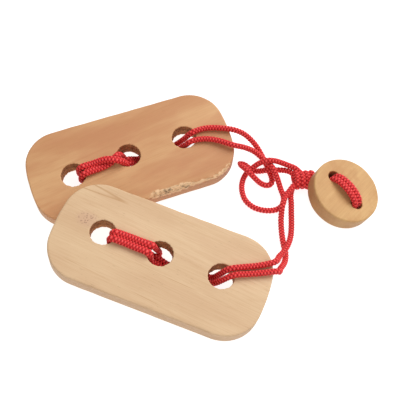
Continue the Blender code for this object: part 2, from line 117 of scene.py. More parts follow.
FRONT_STRAND_1 = [
    (0.0533, 0.0153, 0.0053), (0.0521, 0.0137, 0.0051), (0.0498, 0.0106, 0.0050), (0.0482, 0.0070, 0.0051),
    (0.0472, 0.0034, 0.0049), (0.0467, -0.0004, 0.0029), (0.0463, -0.0048, 0.0018),
    (0.0464, -0.0140, 0.0016), (0.0470, -0.0200, 0.0016), (0.0477, -0.0240, 0.0017),
    (0.0473, -0.0290, 0.0026), (0.0457, -0.0335, 0.0050), (0.0436, -0.0371, 0.0080),
]
FRONT_STRAND_2 = [
    (0.0535, 0.0150, 0.0017), (0.0529, 0.0118, 0.0016), (0.0530, 0.0080, 0.0015), (0.0526, 0.0010, 0.0015),
    (0.0522, -0.0066, 0.0017), (0.0512, -0.0145, 0.0025), (0.0490, -0.0212, 0.0048),
    (0.0458, -0.0268, 0.0064), (0.0430, -0.0304, 0.0084),
]
FRONT_CLIMB_1 = [(0.0284, 0.0146, 0.0092), (0.0278, 0.0138, 0.0108)]
FRONT_CLIMB_2 = [(0.0254, 0.0208, 0.0092), (0.0249, 0.0192, 0.0109)]
FRONT_LACING = [
    (0.0271, 0.0132, 0.0116), (0.0258, 0.0124, 0.0122), (0.0240, 0.0113, 0.0124), (0.0178, 0.0081, 0.0120),
    (0.0110, 0.0048, 0.0119), (0.0065, 0.0025, 0.0121), (0.0035, 0.0006, 0.0102), (0.0010, -0.0008, 0.0067),
    (-0.0015, -0.0018, 0.0028), (-0.0040, -0.0020, -0.0006), (-0.0070, -0.0020, -0.0018),
    (-0.0180, -0.0028, -0.0018), (-0.0300, -0.0036, -0.0018), (-0.0350, -0.0024, -0.0018),
    (-0.0420, -0.0015, -0.0018), (-0.0480, -0.0016, -0.0018), (-0.0560, -0.0020, -0.0018),
    (-0.0597, -0.0020, -0.0022), (-0.0620, -0.0022, -0.0013), (-0.0631, -0.0024, 0.0012),
    (-0.0632, -0.0025, 0.0050), (-0.0630, -0.0026, 0.0100), (-0.0609, -0.0026, 0.0122),
    (-0.0580, -0.0025, 0.0121), (-0.0540, -0.0024, 0.0118), (-0.0480, -0.0026, 0.0118),
    (-0.0427, -0.0027, 0.0120), (-0.0410, -0.0028, 0.0117), (-0.0397, -0.0031, 0.0099),
    (-0.0391, -0.0037, 0.0066), (-0.0384, -0.0045, 0.0030), (-0.0376, -0.0052, 0.0000),
    (-0.0369, -0.0055, -0.0028), (-0.0366, -0.0037, -0.0051), (-0.0366, -0.0004, -0.0055),
    (-0.0366, 0.0029, -0.0051), (-0.0369, 0.0049, -0.0028), (-0.0376, 0.0047, 0.0000),
    (-0.0384, 0.0039, 0.0030), (-0.0391, 0.0030, 0.0066), (-0.0397, 0.0022, 0.0099),
    (-0.0410, 0.0018, 0.0117), (-0.0427, 0.0016, 0.0120), (-0.0480, 0.0016, 0.0118),
    (-0.0540, 0.0016, 0.0118), (-0.0580, 0.0014, 0.0121), (-0.0609, 0.0012, 0.0122),
    (-0.0630, 0.0011, 0.0100), (-0.0632, 0.0011, 0.0050), (-0.0631, 0.0012, 0.0012),
    (-0.0620, 0.0013, -0.0013), (-0.0597, 0.0014, -0.0022), (-0.0560, 0.0014, -0.0018),
    (-0.0480, 0.0018, -0.0018), (-0.0420, 0.0019, -0.0018), (-0.0350, 0.0010, -0.0018),
    (-0.0300, -0.0002, -0.0018), (-0.0180, 0.0006, -0.0018), (-0.0070, 0.0014, -0.0018),
    (-0.0043, 0.0016, -0.0009), (-0.0025, 0.0022, 0.0020), (-0.0006, 0.0031, 0.0060),
    (0.0014, 0.0042, 0.0099), (0.0040, 0.0056, 0.0120), (0.0096, 0.0086, 0.0121), (0.0164, 0.0123, 0.0118),
    (0.0222, 0.0160, 0.0121), (0.0238, 0.0173, 0.0120), (0.0245, 0.0184, 0.0115),
]
# Through the disc, on the line through its two holes: distance from the first hole, and height over its back.
DISC_ROUTE = [
    (-0.0041, -0.0033), (-0.0028, -0.0029), (-0.0012, -0.0014), (-0.0002, 0.0012), (0.0002, 0.0045),
    (0.0005, 0.0077), (0.0011, 0.0103), (0.0029, 0.0121), (0.0061, 0.0133), (0.0098, 0.0139),
    (0.0130, 0.0137), (0.0162, 0.0129), (0.0189, 0.0113), (0.0202, 0.0080), (0.0203, 0.0040),
    (0.0198, 0.0012), (0.0184, -0.0012), (0.0158, -0.0022), (0.0120, -0.0032), (0.0070, -0.0044),
    (0.0010, -0.0058), (-0.0020, -0.0065), (-0.0036, -0.0069),
]
DISC_STRAND_GAP = 0.0033

# ---------------------------------------------------------------- the knot: turns round a level axis
KNOT_START = 0.0546
KNOT_PITCH = 0.00300
KNOT_TURNS = 3
KNOT_MIDDLE = (0.0212, 0.0049)
KNOT_RADII = (0.0044, 0.0032)
KNOT_LEAN = 0.0007
KNOT_NUB = [
    (0.0634, 0.0218, 0.0020), (0.0644, 0.0252, 0.0042), (0.0652, 0.0246, 0.0072), (0.0660, 0.0216, 0.0080),
    (0.0662, 0.0186, 0.0062), (0.0652, 0.0182, 0.0044), (0.0630, 0.0200, 0.0046),
]

# ---------------------------------------------------------------- the braid
BRAID_CARRIERS = 3  # yarns each way round
BRAID_STEP = 0.00178  # from one V to the next, along the cord
BRAID_DEPTH = 0.00042
CORD_RADIUS = 0.00166  # to the middle of the yarns' tops, a little proud of the plain cord
FLAT_WIDER = 0.26  # how much wider and lower the cord is where it is pressed flat
FLAT_LOWER = 0.14
RING_POINTS = 32
STEPS_PER_V = 8

CAMERA_PLACE = Vector((-0.0001, -0.1978, 0.3638))
CAMERA_TARGET = Vector((-0.0001, 0.0103, 0.0))
CAMERA_LENS = 64.43


# ================================================================ geometry helpers
def lying(place, heading, lean):
    """Where a flat piece lies: X along its heading, Z out of its face, which leans to the given side."""
    normal = Vector((*lean, math.sqrt(1.0 - lean[0] ** 2 - lean[1] ** 2)))
    along = Vector((math.cos(heading), math.sin(heading), 0.0))
    along = (along - normal * along.dot(normal)).normalized()
    turn = Matrix((along, normal.cross(along), normal)).transposed().to_4x4()
    return Matrix.Translation(place) @ turn


def placed(matrix, points):
    return [tuple(matrix @ Vector(p)) for p in points]


def smooth(points, step):
    """Evenly spaced points on the smooth curve through the given ones, as an array."""
    knots = [Vector(p) for p in points]
    ends = [2 * knots[0] - knots[1], *knots, 2 * knots[-1] - knots[-2]]
    fine = [knots[0]]
    for a, b, c, d in zip(ends, ends[1:], ends[2:], ends[3:]):
        t1 = (b - a).length ** 0.5
        t2 = t1 + (c - b).length ** 0.5
        t3 = t2 + (d - c).length ** 0.5
        for i in range(1, 17):
            t = t1 + (t2 - t1) * i / 16
            p = a.lerp(b, t / t1)
            q = b.lerp(c, (t - t1) / (t2 - t1))
            r = c.lerp(d, (t - t2) / (t3 - t2))
            p, q = p.lerp(q, t / t2), q.lerp(r, (t - t1) / (t3 - t1))
            fine.append(p.lerp(q, (t - t1) / (t2 - t1)))
    line = np.array(fine)
    # a light smoothing takes the last unevenness out of the bends
    for _ in range(12):
        line[1:-1] = 0.5 * line[1:-1] + 0.25 * (line[:-2] + line[2:])
    run = np.concatenate([[0.0], np.cumsum(np.linalg.norm(np.diff(line, axis=0), axis=1))])
    count = max(2, round(run[-1] / step))
    want = np.linspace(0.0, run[-1], count + 1)
    return np.stack([np.interp(want, run, line[:, k]) for k in range(3)], axis=1)


def side_directions(line):
    """Two unit vectors across the line at each point, carried along it without twisting."""
    tangent = np.gradient(line, axis=0)
    tangent /= np.linalg.norm(tangent, axis=1)[:, None]
    first = np.cross(tangent[0], (0.0, 0.0, 1.0))
    if np.linalg.norm(first) < 0.1:
        first = np.cross(tangent[0], (1.0, 0.0, 0.0))
    sides = [first / np.linalg.norm(first)]
    for t in tangent[1:]:
        side = sides[-1] - t * (sides[-1] @ t)
        sides.append(side / np.linalg.norm(side))
    sides = np.array(sides)
    return sides, np.cross(tangent, sides)


def braid_height(turn, step):
    """How far the braid stands out, 0 to 1, at whole-yarn coordinates round and along the cord."""
    u, v = turn - step, turn + step
    leaning_left = (np.floor(u) + np.floor(v)) % 2 == 0
    across = np.where(leaning_left, u % 1.0, v % 1.0)
    along = np.where(leaning_left, v % 1.0, u % 1.0)
    bulge = np.sqrt(np.clip(1.0 - (2.0 * across - 1.0) ** 2, 0.0, 1.0))
    dive = 1.0 - np.abs(2.0 * along - 1.0) ** 3
    return bulge * (0.35 + 0.65 * dive) * dive**0.3


def braided_tube(name, line, paint, flat=None, normal=(0.0, 0.0, 1.0), pinch=None):
    """A mesh of braided cord round the line, whose points lie one braid sample apart.

    flat says how far the cord is pressed flat at each point, 0 to 1, against a face with the given normal.
    pinch is a factor on its thickness at each point.
    """
    rings = len(line)
    flat = np.zeros(rings) if flat is None else flat
    pinch = np.ones(rings) if pinch is None else pinch
    side, up = side_directions(line)
    angle = 2 * np.pi * np.arange(RING_POINTS) / RING_POINTS
    turn = BRAID_CARRIERS * np.arange(RING_POINTS + 1) / RING_POINTS
    step = np.arange(rings) / STEPS_PER_V
    height = braid_height(turn[None, :-1], step[:, None])
    radius = CORD_RADIUS + BRAID_DEPTH * (height - 0.75)
    ring = np.cos(angle)[None, :, None] * side[:, None] + np.sin(angle)[None, :, None] * up[:, None]
    out = radius[..., None] * ring
    lift = (out @ np.array(normal))[..., None] * np.array(normal)
    widened = (out - lift) * (1.0 + FLAT_WIDER * flat)[:, None, None]
    out = (widened + lift * (1.0 - FLAT_LOWER * flat)[:, None, None]) * pinch[:, None, None]
    places = (line[:, None] + out).reshape(-1, 3)
    i, j = np.meshgrid(np.arange(rings - 1), np.arange(RING_POINTS), indexing="ij")
    near, far = i * RING_POINTS, (i + 1) * RING_POINTS
    k = (j + 1) % RING_POINTS
    faces = np.stack([near + j, near + k, far + k, far + j], axis=-1).reshape(-1, 4)
    weave_u = np.stack([turn[j], turn[j + 1], turn[j + 1], turn[j]], axis=-1)
    weave_v = np.stack([step[i], step[i], step[i + 1], step[i + 1]], axis=-1)
    mesh = bpy.data.meshes.new(name)
    mesh.vertices.add(len(places))
    mesh.vertices.foreach_set("co", places.astype(np.float32).ravel())
    mesh.loops.add(faces.size)
    mesh.loops.foreach_set("vertex_index", faces.astype(np.int32).ravel())
    mesh.polygons.add(len(faces))
    mesh.polygons.foreach_set("loop_start", np.arange(0, faces.size, 4, dtype=np.int32))
    mesh.update(calc_edges=True)
    weave = np.stack([weave_u, weave_v], axis=-1)
    mesh.uv_layers.new(name="weave").data.foreach_set("uv", weave.astype(np.float32).ravel())
    crests = mesh.attributes.new("braid", "FLOAT", "POINT")
    crests.data.foreach_set("value", height.astype(np.float32).ravel())
    mesh.validate()
    mesh.shade_smooth()
    mesh.materials.append(paint)
    close_ends(mesh)
    piece = bpy.data.objects.new(name, mesh)
    bpy.context.collection.objects.link(piece)
    return piece


def close_ends(mesh):
    """Fills each open end of a tube with one flat face."""
    build = bmesh.new()
    build.from_mesh(mesh)
    rim = [e for e in build.edges if e.is_boundary]
    bmesh.ops.holes_fill(build, edges=rim, sides=0)
    bmesh.ops.recalc_face_normals(build, faces=build.faces)
    build.to_mesh(mesh)
    build.free()


# ================================================================ material helpers
class Nodes:
    """Shorthand for building one material's nodes."""

    def __init__(self, name):
        self.material = bpy.data.materials.new(name)
        self.material.use_nodes = True
        self.tree = self.material.node_tree
        self.shader = self.tree.nodes["Principled BSDF"]

    def link(self, value, socket):
        if isinstance(value, bpy.types.NodeSocket):
            self.tree.links.new(value, socket)
        else:
            socket.default_value = value

    def new(self, kind, inputs=None, **settings):
        node = self.tree.nodes.new(kind)
        for key, value in settings.items():
            setattr(node, key, value)
        for key, value in (inputs or {}).items():
            self.link(value, node.inputs[key])
        return node

    def math(self, operation, *values, clamp=False):
        node = self.tree.nodes.new("ShaderNodeMath")
        node.operation, node.use_clamp = operation, clamp
        for socket, value in zip(node.inputs, values):
            self.link(value, socket)
        return node.outputs[0]

    def noise(self, vector, scale, detail=3.0, roughness=0.55, distortion=0.0):
        node = self.new("ShaderNodeTexNoise", {"Vector": vector, "Scale": scale, "Detail": detail,
                                               "Roughness": roughness, "Distortion": distortion})
        return node.outputs["Fac"]

    def stretched(self, vector, scale, rotation=(0.0, 0.0, 0.0), location=(0.0, 0.0, 0.0)):
        node = self.new("ShaderNodeMapping", {"Vector": vector, "Scale": scale, "Rotation": rotation,
                                              "Location": location})
        return node.outputs[0]

    def ramp(self, value, low, high, to_low=0.0, to_high=1.0):
        node = self.new("ShaderNodeMapRange", {"Value": value, "From Min": low, "From Max": high,
                                               "To Min": to_low, "To Max": to_high})
        node.interpolation_type = "SMOOTHSTEP"
        return node.outputs["Result"]

    def mix(self, factor, first, second, blend="MIX"):
        node = self.tree.nodes.new("ShaderNodeMix")
        node.data_type, node.blend_type = "RGBA", blend
        self.link(factor, node.inputs[0])
        self.link(first if isinstance(first, bpy.types.NodeSocket) else (*first, 1.0), node.inputs[6])
        self.link(second if isinstance(second, bpy.types.NodeSocket) else (*second, 1.0), node.inputs[7])
        return node.outputs[2]

    def bump(self, height, strength, distance, normal=None):
        inputs = {"Height": height, "Strength": strength, "Distance": distance}
        if normal is not None:
            inputs["Normal"] = normal
        return self.new("ShaderNodeBump", inputs).outputs["Normal"]


def linear(red, green, blue):
    """Linear colour from the usual 0 to 255 screen values."""
    screen = (red, green, blue)
    return tuple(((c / 255 + 0.055) / 1.055) ** 2.4 if c > 10 else c / 255 / 12.92 for c in screen)


# ================================================================ materials
def cord_material():
    n = Nodes("red_braid")
    weave = n.new("ShaderNodeSeparateXYZ", {0: n.new("ShaderNodeUVMap", uv_map="weave").outputs[0]})
    u = n.math("SUBTRACT", weave.outputs[0], weave.outputs[1])
    v = n.math("ADD", weave.outputs[0], weave.outputs[1])
    cell = n.math("ADD", n.math("FLOOR", u), n.math("FLOOR", v))
    parity = n.math("MODULO", n.math("ADD", cell, 4096.0), 2.0)
    flip = n.math("SUBTRACT", 1.0, parity)
    across = n.math("ADD", n.math("MULTIPLY", u, flip), n.math("MULTIPLY", v, parity))
    threads = n.math("SINE", n.math("MULTIPLY", across, 2 * math.pi * 5))
    height = n.new("ShaderNodeAttribute", attribute_name="braid").outputs["Fac"]
    place = n.new("ShaderNodeTexCoord").outputs["Object"]
    fuzz = n.noise(place, 2600.0, 3.0, 0.65)
    tone = n.noise(place, 260.0, 2.0)
    # painted shade: the grooves between the yarns are darker, by the braid's height
    crease_shade = n.ramp(height, 0.12, 0.74)
    colour = n.mix(crease_shade, linear(124, 4, 10), linear(240, 42, 44))
    # painted highlight: the yarns' tops turn paler, towards white
    colour = n.mix(n.ramp(height, 0.78, 1.0, 0.0, 0.80), colour, linear(250, 110, 106))
    colour = n.mix(n.ramp(tone, 0.35, 0.75, 0.0, 0.20), colour, linear(216, 26, 30))
    n.link(colour, n.shader.inputs["Base Color"])
    n.shader.inputs["Roughness"].default_value = 0.62
    n.shader.inputs["Specular IOR Level"].default_value = 0.35
    n.shader.inputs["Sheen Weight"].default_value = 0.12
    n.shader.inputs["Sheen Roughness"].default_value = 0.4
    fine = n.math("ADD", n.math("MULTIPLY", threads, 0.5), fuzz)
    n.link(n.bump(fine, 0.35, 0.00008), n.shader.inputs["Normal"])
    return n.material


def wood_material(name, pale, deep, streak, heading, ring_gap, patch, fibre=1.0, rings=0.42,
                  streaky=0.45, lines=0.0):
    """Solid wood: the grain runs along the heading, and the faces cut its rings as in a real board."""
    n = Nodes(name)
    place = n.new("ShaderNodeTexCoord").outputs["Object"]
    along = n.stretched(place, (1.0, 1.0, 1.0), (0.0, 0.0, -heading), patch)
    bend = n.noise(n.stretched(along, (14.0, 60.0, 60.0)), 1.0, 2.0, 0.5)
    parts = n.new("ShaderNodeSeparateXYZ", {0: along})
    # distance from the tree's middle, which lies well below the board
    y = n.math("ADD", parts.outputs[1], n.math("MULTIPLY", n.math("SUBTRACT", bend, 0.5), 0.030))
    z = n.math("ADD", parts.outputs[2], 0.045)
    radius = n.math("SQRT", n.math("ADD", n.math("MULTIPLY", y, y), n.math("MULTIPLY", z, z)))
    ring = n.math("FRACT", n.math("DIVIDE", radius, ring_gap))
    late = n.math("MULTIPLY", n.ramp(ring, 0.45, 0.93), n.ramp(ring, 1.0, 0.93))
    broad = n.noise(n.stretched(along, (18.0, 75.0, 75.0)), 1.0, 3.0, 0.6)
    fibres = n.noise(n.stretched(along, (45.0, 1500.0, 1500.0)), 1.0, 4.0, 0.6)
    pores = n.noise(n.stretched(along, (220.0, 3200.0, 3200.0)), 1.0, 2.0, 0.5)
    streaks = n.noise(n.stretched(along, (16.0, 420.0, 420.0)), 1.0, 3.0, 0.65, 0.3)
    colour = n.mix(n.ramp(broad, 0.34, 0.66), pale, deep)
    colour = n.mix(n.math("MULTIPLY", late, rings), colour, streak)
    colour = n.mix(n.ramp(streaks, 0.56, 0.74, 0.0, streaky), colour, streak)
    colour = n.mix(n.ramp(fibres, 0.35, 0.75, 0.0, 0.30 * fibre), colour, streak)
    # a few long, thin, broken lines
    wave = n.noise(n.stretched(along, (3.4, 66.0, 66.0), location=(0.7, 0.1, 0.0)), 1.0, 1.0, 0.4)
    thin = n.ramp(n.math("ABSOLUTE", n.math("SUBTRACT", wave, 0.5)), 0.013, 0.0)
    kept = n.ramp(n.noise(n.stretched(along, (30.0, 90.0, 90.0)), 1.0, 2.0, 0.5), 0.42, 0.60)
    colour = n.mix(n.math("MULTIPLY", n.math("MULTIPLY", thin, kept), lines), colour, streak)
    dark = tuple(0.45 * c for c in streak)
    colour = n.mix(n.ramp(pores, 0.66, 0.78, 0.0, 0.55 * fibre), colour, dark)
    relief = n.math("ADD", n.math("MULTIPLY", fibres, 0.7), n.math("MULTIPLY", pores, -0.3))
    n.link(n.bump(relief, 0.22, 0.00025), n.shader.inputs["Normal"])
    n.link(n.ramp(fibres, 0.3, 0.8, 0.50, 0.64), n.shader.inputs["Roughness"])
    n.shader.inputs["Specular IOR Level"].default_value = 0.35
    return n, colour, place, along


def finish_wood(n, colour, place, rough_colour, side_tone_and_shade=(0.80, 0.75, 0.72)):
    """Adds the darker sides, partly the cut wood's own colour and partly painted shade, and rough, torn wood
    with painted shade in its crevices where the mesh says so, and colours the shader.
    """
    wall = n.new("ShaderNodeAttribute", attribute_name="wall").outputs["Fac"]
    # darker sides: partly the cut wood's own darker colour, partly painted shade
    colour = n.mix(wall, colour, n.mix(1.0, colour, side_tone_and_shade, "MULTIPLY"))
    torn = n.new("ShaderNodeAttribute", attribute_name="torn").outputs["Fac"]
    clump = n.noise(n.stretched(place, (260.0, 520.0, 700.0)), 1.0, 3.0, 0.65, 0.6)
    grit = n.noise(n.stretched(place, (700.0, 1300.0, 1500.0)), 1.0, 3.0, 0.7)
    broken = n.math("ADD", n.math("MULTIPLY", clump, 0.65), n.math("MULTIPLY", grit, 0.35))
    # painted shade: deep, dark crevices only where the tear is wide
    shade = tuple(0.62 * c for c in rough_colour)
    crevice_shade = tuple(0.26 * c for c in rough_colour)
    dark = n.mix(n.ramp(torn, 0.35, 0.75), shade, crevice_shade)
    rough = n.mix(n.ramp(broken, 0.40, 0.53), dark, rough_colour)
    ragged = n.math("ADD", torn, n.math("MULTIPLY", n.math("SUBTRACT", clump, 0.5), 0.9))
    colour = n.mix(n.math("MULTIPLY", n.ramp(ragged, 0.20, 0.36), n.ramp(torn, 0.02, 0.12)), colour, rough)
    n.link(colour, n.shader.inputs["Base Color"])
    return n.material


def rear_wood_material():
    n, colour, place, along = wood_material(
        "rear_board_wood", linear(216, 168, 119), linear(202, 146, 101), linear(188, 128, 82),
        math.radians(7), 0.0125, (0.0, 0.0, 0.0), 0.6, 0.25, 0.28, 0.35)
    blotch = n.noise(n.stretched(along, (22.0, 60.0, 60.0), location=(0.3, 0.2, 0.0)), 1.0, 3.0, 0.6)
    colour = n.mix(n.ramp(blotch, 0.50, 0.68, 0.0, 0.45), colour, linear(196, 134, 94))
    return finish_wood(n, colour, place, linear(232, 192, 148))


def front_wood_material():
    n, colour, place, _ = wood_material(
        "front_board_wood", linear(228, 195, 155), linear(220, 184, 145), linear(197, 155, 112),
        math.radians(-4.5), 0.0150, (0.1, 0.02, 0.0), 1.15, 0.16, 0.26, 0.95)
    # a speckled cluster of pin knots by the far hole
    middle = (-0.0449, 0.0054, 0.0100)
    spot = n.new("ShaderNodeVectorMath", {0: place, 1: middle}, operation="SUBTRACT").outputs[0]
    near = n.new("ShaderNodeVectorMath", {0: n.stretched(spot, (1.0, 1.3, 0.3))}, operation="LENGTH")
    inside = n.ramp(near.outputs["Value"], 0.0080, 0.0030)
    dots = n.new("ShaderNodeTexVoronoi", {"Vector": place, "Scale": 800.0}).outputs["Distance"]
    speckle = n.math("MULTIPLY", n.ramp(dots, 0.42, 0.18), inside)
    warm = n.math("MULTIPLY", inside, 0.45)
    colour = n.mix(warm, colour, linear(206, 164, 136))
    colour = n.mix(n.math("MULTIPLY", speckle, 0.65), colour, linear(150, 104, 88))
    return finish_wood(n, colour, place, linear(230, 194, 152))


def disc_wood_material():
    n, colour, place, _ = wood_material(
        "disc_wood", linear(214, 171, 114), linear(203, 156, 102), linear(182, 132, 82),
        math.radians(48), 0.0100, (0.0, 0.05, 0.0), 1.0, 0.13, 0.22, 0.15)
    blotch = n.noise(n.stretched(place, (110.0, 90.0, 90.0), location=(0.2, 0.5, 0.0)), 1.0, 3.0, 0.6)
    colour = n.mix(n.ramp(blotch, 0.48, 0.66, 0.0, 0.45), colour, linear(190, 138, 86))
    return finish_wood(n, colour, place, linear(230, 194, 152))


def bore_material():
    """The wall of a drilled hole: scorched and a little fuzzy."""
    n = Nodes("scorched_bore")
    place = n.new("ShaderNodeTexCoord").outputs["Object"]
    grain = n.noise(n.stretched(place, (260.0, 900.0, 900.0)), 1.0, 4.0, 0.65)
    rings = n.noise(n.stretched(place, (60.0, 60.0, 1600.0)), 1.0, 2.0, 0.6)
    colour = n.mix(n.ramp(grain, 0.35, 0.70), linear(152, 102, 62), linear(204, 150, 100))
    colour = n.mix(n.ramp(rings, 0.45, 0.70, 0.0, 0.5), colour, linear(92, 52, 26))
    n.link(colour, n.shader.inputs["Base Color"])
    n.shader.inputs["Roughness"].default_value = 0.85
    n.shader.inputs["Specular IOR Level"].default_value = 0.2
    n.link(n.bump(grain, 0.5, 0.0004), n.shader.inputs["Normal"])
    return n.material


# ================================================================ wooden pieces
def arc(centre, radius, start, end, steps):
    """Points on an arc, with both its ends."""
    angles = [start + (end - start) * i / steps for i in range(steps + 1)]
    return [(centre[0] + radius * math.cos(a), centre[1] + radius * math.sin(a)) for a in angles]


def board_outline():
    """Straight sides, bulging ends and round corners that meet both without a kink."""
    end_centre = BOARD_LENGTH / 2 - END_RADIUS
    corner_y = BOARD_WIDTH / 2 - CORNER_RADIUS
    corner_x = end_centre + math.sqrt((END_RADIUS - CORNER_RADIUS) ** 2 - corner_y**2)
    join = math.atan2(corner_y, corner_x - end_centre)
    right = arc((end_centre, 0.0), END_RADIUS, -join, join, 40)
    corner = arc((corner_x, corner_y), CORNER_RADIUS, join, math.pi / 2, 80)
    half = right[1:-1] + corner
    top = half + [(-x, y) for x, y in reversed(corner)]
    left = [(-x, -y) for x, y in right[1:-1]]
    bottom = [(-x, -y) for x, y in corner] + [(x, -y) for x, y in reversed(corner)]
    return top + left + bottom


def even_loop(points, spacing):
    """The closed outline resampled at even steps, with its outward directions."""
    line = np.array([*points, points[0]])
    run = np.concatenate([[0.0], np.cumsum(np.linalg.norm(np.diff(line, axis=0), axis=1))])
    want = np.linspace(0.0, run[-1], round(run[-1] / spacing) + 1)[:-1]
    loop = np.stack([np.interp(want, run, line[:, k]) for k in range(2)], axis=1)
    ahead = np.roll(loop, -1, axis=0) - np.roll(loop, 1, axis=0)
    outward = np.stack([ahead[:, 1], -ahead[:, 0]], axis=1)
    return loop, outward / np.linalg.norm(outward, axis=1)[:, None]


def edge_profile(top_in, top_down, bottom, thickness, wall_rows):
    """(how far in from the side, height) from the top face, down the side, to the back face."""
    corner = [math.pi / 2 * i / 5 for i in range(6)]
    rows = [(top_in + 0.0016, thickness), (top_in + 0.0005, thickness)]
    rows += [(top_in * (1 - math.sin(a)), thickness - top_down * (1 - math.cos(a))) for a in corner]
    low, high = bottom, thickness - top_down
    rows += [(0.0, high + (low - high) * i / wall_rows) for i in range(1, wall_rows)]
    rows += [(bottom * (1 - math.cos(a)), bottom * (1 - math.sin(a))) for a in corner]
    rows += [(bottom + 0.0005, 0.0), (bottom + 0.0016, 0.0)]
    return rows


def uneven(place, scale, seed):
    return noise.noise(Vector(place) * scale + Vector((seed, 0.0, 0.0)))


INSIDE_EDGES = 1  # the kind of triangulation that leaves out what lies outside the given edges


class WoodPiece:
    """Collects the vertices and faces of a flat wooden piece with holes."""

    def __init__(self, outline, holes, hole_radius, thickness, torn_at=None, seed=0.0):
        self.places, self.faces, self.kinds, self.torn, self.wall = [], [], [], [], []
        self.seed = seed
        self.thickness = thickness
        loop, outward = even_loop(outline, 0.0006)
        torn = np.array([torn_at(x, y) for x, y in loop]) if torn_at else np.zeros(len(loop))
        self.outer = self.side(loop, outward, torn)
        self.rims = [self.bore(hole, hole_radius) for hole in holes]
        self.cap(self.outer[0], [rim[0] for rim in self.rims], holes, False)
        self.cap(self.outer[-1], [rim[-1] for rim in self.rims], holes, True)

    def ring(self, places, torn, wall=0.0):
        first = len(self.places)
        self.places += places
        self.torn += list(torn)
        self.wall += [wall] * len(places)
        return list(range(first, len(self.places)))

    def bridge(self, above, below, kind):
        count = len(above)
        for i in range(count):
            j = (i + 1) % count
            self.faces.append((above[i], below[i], below[j], above[j]))
            self.kinds.append(kind)

    def side(self, loop, outward, torn):
        """The rounded edge all the way round, broken where the wood is torn."""
        rows = []
        profiles = []
        for (x, y), t in zip(loop, torn):
            wear = 0.5 + 0.5 * uneven((x, y, 0.0), 90.0, self.seed)
            chip = 0.5 + 0.5 * uneven((x, y, 0.0), 420.0, self.seed + 7)
            top_in = 0.0007 + 0.0005 * wear + t * (0.0010 + 0.0022 * chip)
            top_down = 0.0007 + 0.0004 * wear + t * (0.0012 + 0.0026 * chip)
            profiles.append(edge_profile(top_in, top_down, 0.0008 + 0.0003 * wear, self.thickness, 7))
        for k in range(len(profiles[0])):
            ring, marks = [], []
            for (x, y), (nx, ny), profile, t in zip(loop, outward, profiles, torn):
                inset, height = profile[k]
                rough = t if 1 < k < 9 else 0.0
                dent = 0.00045 * rough * uneven((x, y, height), 1300.0, self.seed + 3)
                dent += 0.00060 * rough * uneven((x, y, height), 520.0, self.seed + 5)
                dent += 0.00010 * uneven((x, y, height * 0.3), 160.0, self.seed + 9) * (2 < k < 18)
                ring.append((x - nx * (inset - dent), y - ny * (inset - dent), height + dent * (1 < k < 7)))
                marks.append(t * max(0.0, 1.0 - abs(k - 4.5) / 4.5))
            wall = min(1.0, max(0.0, (k - 4) / 4)) * min(1.0, max(0.0, (20 - k) / 4))
            rows.append(self.ring(ring, marks, wall))
        for above, below in zip(rows, rows[1:]):
            self.bridge(above, below, 0)
        return rows

    def bore(self, centre, radius):
        """A drilled hole with slightly broken rims."""
        count = round(2 * math.pi * radius / 0.00045)
        angles = [2 * math.pi * i / count for i in range(count)]
        rows = []
        profile = edge_profile(0.0005, 0.0005, 0.0005, self.thickness, 8)
        for k, (inset, height) in enumerate(profile):
            ring = []
            for a in angles:
                direction = (math.cos(a), math.sin(a))
                spot = (direction[0] * 0.01, direction[1] * 0.01, centre[0] + height * 0.5)
                fuzz = 0.00032 * uneven(spot, 900.0, self.seed) + 0.00016 * uneven(spot, 2600.0, self.seed)
                if k < 2 or k > len(profile) - 3:
                    fuzz = 0.0
                r = radius + inset + fuzz
                ring.append((centre[0] + r * direction[0], centre[1] + r * direction[1], height))
            rows.append(self.ring(ring, [0.0] * count))
        for k, (above, below) in enumerate(zip(rows, rows[1:])):
            self.bridge(below, above, 1 if 5 < k < len(rows) - 6 else 0)
        return rows

    def cap(self, outer, rims, holes, below):
        """The flat face between the outer edge and the holes, in triangles."""
        loops = [outer, *rims]
        ids = [i for loop in loops for i in loop]
        flat = [Vector(self.places[i][:2]) for i in ids]
        height = self.places[outer[0]][2]
        edges, first = [], 0
        for loop in loops:
            edges += [(first + i, first + (i + 1) % len(loop)) for i in range(len(loop))]
            first += len(loop)
        xs, ys = [p.x for p in flat], [p.y for p in flat]
        outline = [flat[i] for i in range(len(outer))]
        clear = [(Vector(hole), (flat[sum(len(lp) for lp in loops[: k + 1])] - Vector(hole)).length)
                 for k, hole in enumerate(holes)]
        gap = 0.0025
        for i in range(int((max(xs) - min(xs)) / gap)):
            for j in range(int((max(ys) - min(ys)) / gap)):
                p = Vector((min(xs) + gap * (i + 0.5 + 0.5 * (j % 2)), min(ys) + gap * (j + 0.5)))
                if all((p - c).length > r + gap / 2 for c, r in clear) and inside(p, outline, gap / 2):
                    flat.append(p)
                    ids += self.ring([(p.x, p.y, height)], [0.0])
        made, _, triangles, source = delaunay_2d_cdt(flat, edges, [], INSIDE_EDGES, 1e-7)[:4]
        for triangle in triangles:
            middle = sum((made[i] for i in triangle), Vector((0.0, 0.0))) / 3
            if any((middle - c).length < r - 1e-6 for c, r in clear):
                continue
            corners = [ids[source[i][0]] for i in triangle]
            a, b, c = (Vector(self.places[i][:2]) for i in corners)
            if ((b - a).cross(c - a) < 0) != below:
                corners.reverse()
            self.faces.append(tuple(corners))
            self.kinds.append(0)

    def build(self, name, paints, matrix):
        mesh = bpy.data.meshes.new(name)
        mesh.from_pydata(self.places, [], self.faces)
        mesh.validate()
        for paint in paints:
            mesh.materials.append(paint)
        mesh.polygons.foreach_set("material_index", self.kinds)
        for mark, values in (("torn", self.torn), ("wall", self.wall)):
            mesh.attributes.new(mark, "FLOAT", "POINT").data.foreach_set("value", values)
        mesh.shade_smooth()
        piece = bpy.data.objects.new(name, mesh)
        bpy.context.collection.objects.link(piece)
        piece.matrix_world = matrix
        return piece


